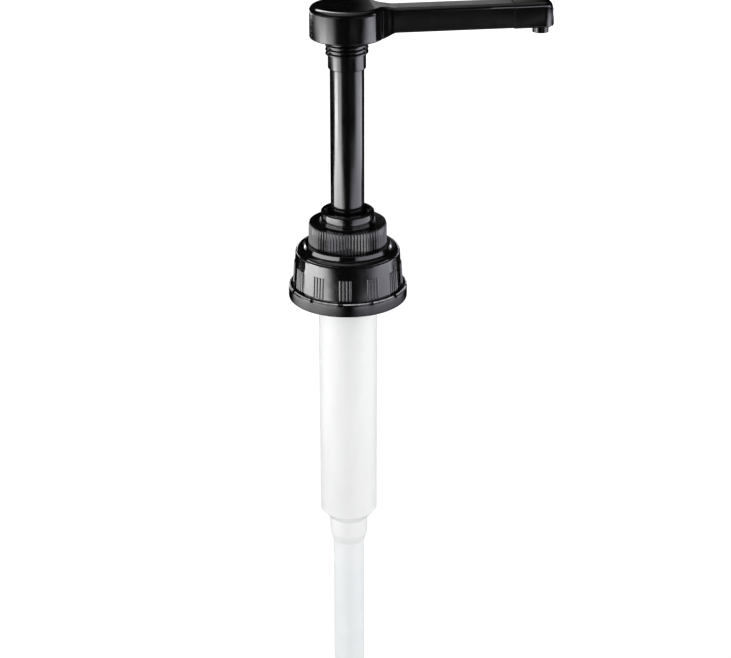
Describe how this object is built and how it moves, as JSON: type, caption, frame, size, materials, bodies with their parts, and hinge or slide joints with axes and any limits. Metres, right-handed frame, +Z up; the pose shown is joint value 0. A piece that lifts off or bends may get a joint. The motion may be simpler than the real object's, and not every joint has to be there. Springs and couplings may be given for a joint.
{
  "type": "fruit puree pump",
  "caption": "Hand-pressed puree pump with a straight spout arm, knurled lock collar, ribbed screw closure, spring-return piston and slant-cut dip tube for a 38 mm bottle neck.",
  "frame": {"origin": "on the pump's axis, in the plane where the neck gasket rests on the bottle's rim", "axes": "+Z up along the stem, +X towards the spout"},
  "size_m": [0.1027, 0.0468, 0.3038],
  "materials": {
    "black_polypropylene": "moulded black polypropylene, polished tool, glossy",
    "milky_polypropylene": "natural milky white polypropylene, satin",
    "frosted_polyethylene": "natural translucent polyethylene, faintly bluish, satin",
    "grey_seal_rubber": "moulded grey sealing rubber, matt",
    "stainless_steel": "drawn and polished stainless steel"
  },
  "bodies": {
    "housing": {"pump_cylinder": "milky_polypropylene", "dip_tube": "frosted_polyethylene", "inlet_cage": "milky_polypropylene", "return_spring": "stainless_steel", "neck_gasket": "grey_seal_rubber", "lock_collar": "black_polypropylene", "collar_seal": "grey_seal_rubber", "stem_guide": "milky_polypropylene", "stem_wiper": "grey_seal_rubber"},
    "closure": {"screw_closure": "black_polypropylene"},
    "piston": {"piston_seal": "frosted_polyethylene", "thrust_washer": "stainless_steel"},
    "plunger": {"pump_head": "black_polypropylene", "spout_tip": "black_polypropylene", "pump_stem": "black_polypropylene", "stem_seal": "grey_seal_rubber", "piston_foot": "black_polypropylene", "outlet_stop": "milky_polypropylene"},
    "inlet_ball": {"inlet_ball": "stainless_steel"},
    "outlet_ball": {"outlet_ball": "stainless_steel"}
  },
  "joints": [
    {"name": "closure_spin", "type": "hinge", "parent": "housing", "child": "closure", "pos_m": [0, 0, 0], "axis": [0, 0, 1], "continuous": true},
    {"name": "pump_stroke", "type": "slide", "parent": "housing", "child": "piston", "axis": [0, 0, -1], "range_m": [0, 0.06], "stiffness_N_per_m": 250, "springref_m": -0.03, "deforming": ["return_spring"]},
    {"name": "head_turn", "type": "hinge", "parent": "piston", "child": "plunger", "pos_m": [0, 0, 0], "axis": [0, 0, 1], "continuous": true},
    {"name": "inlet_ball_lift", "type": "slide", "parent": "housing", "child": "inlet_ball", "axis": [0, 0, 1], "range_m": [0, 0.0028]},
    {"name": "outlet_ball_lift", "type": "slide", "parent": "plunger", "child": "outlet_ball", "axis": [0, 0, 1], "range_m": [0, 0.0028]}
  ]
}
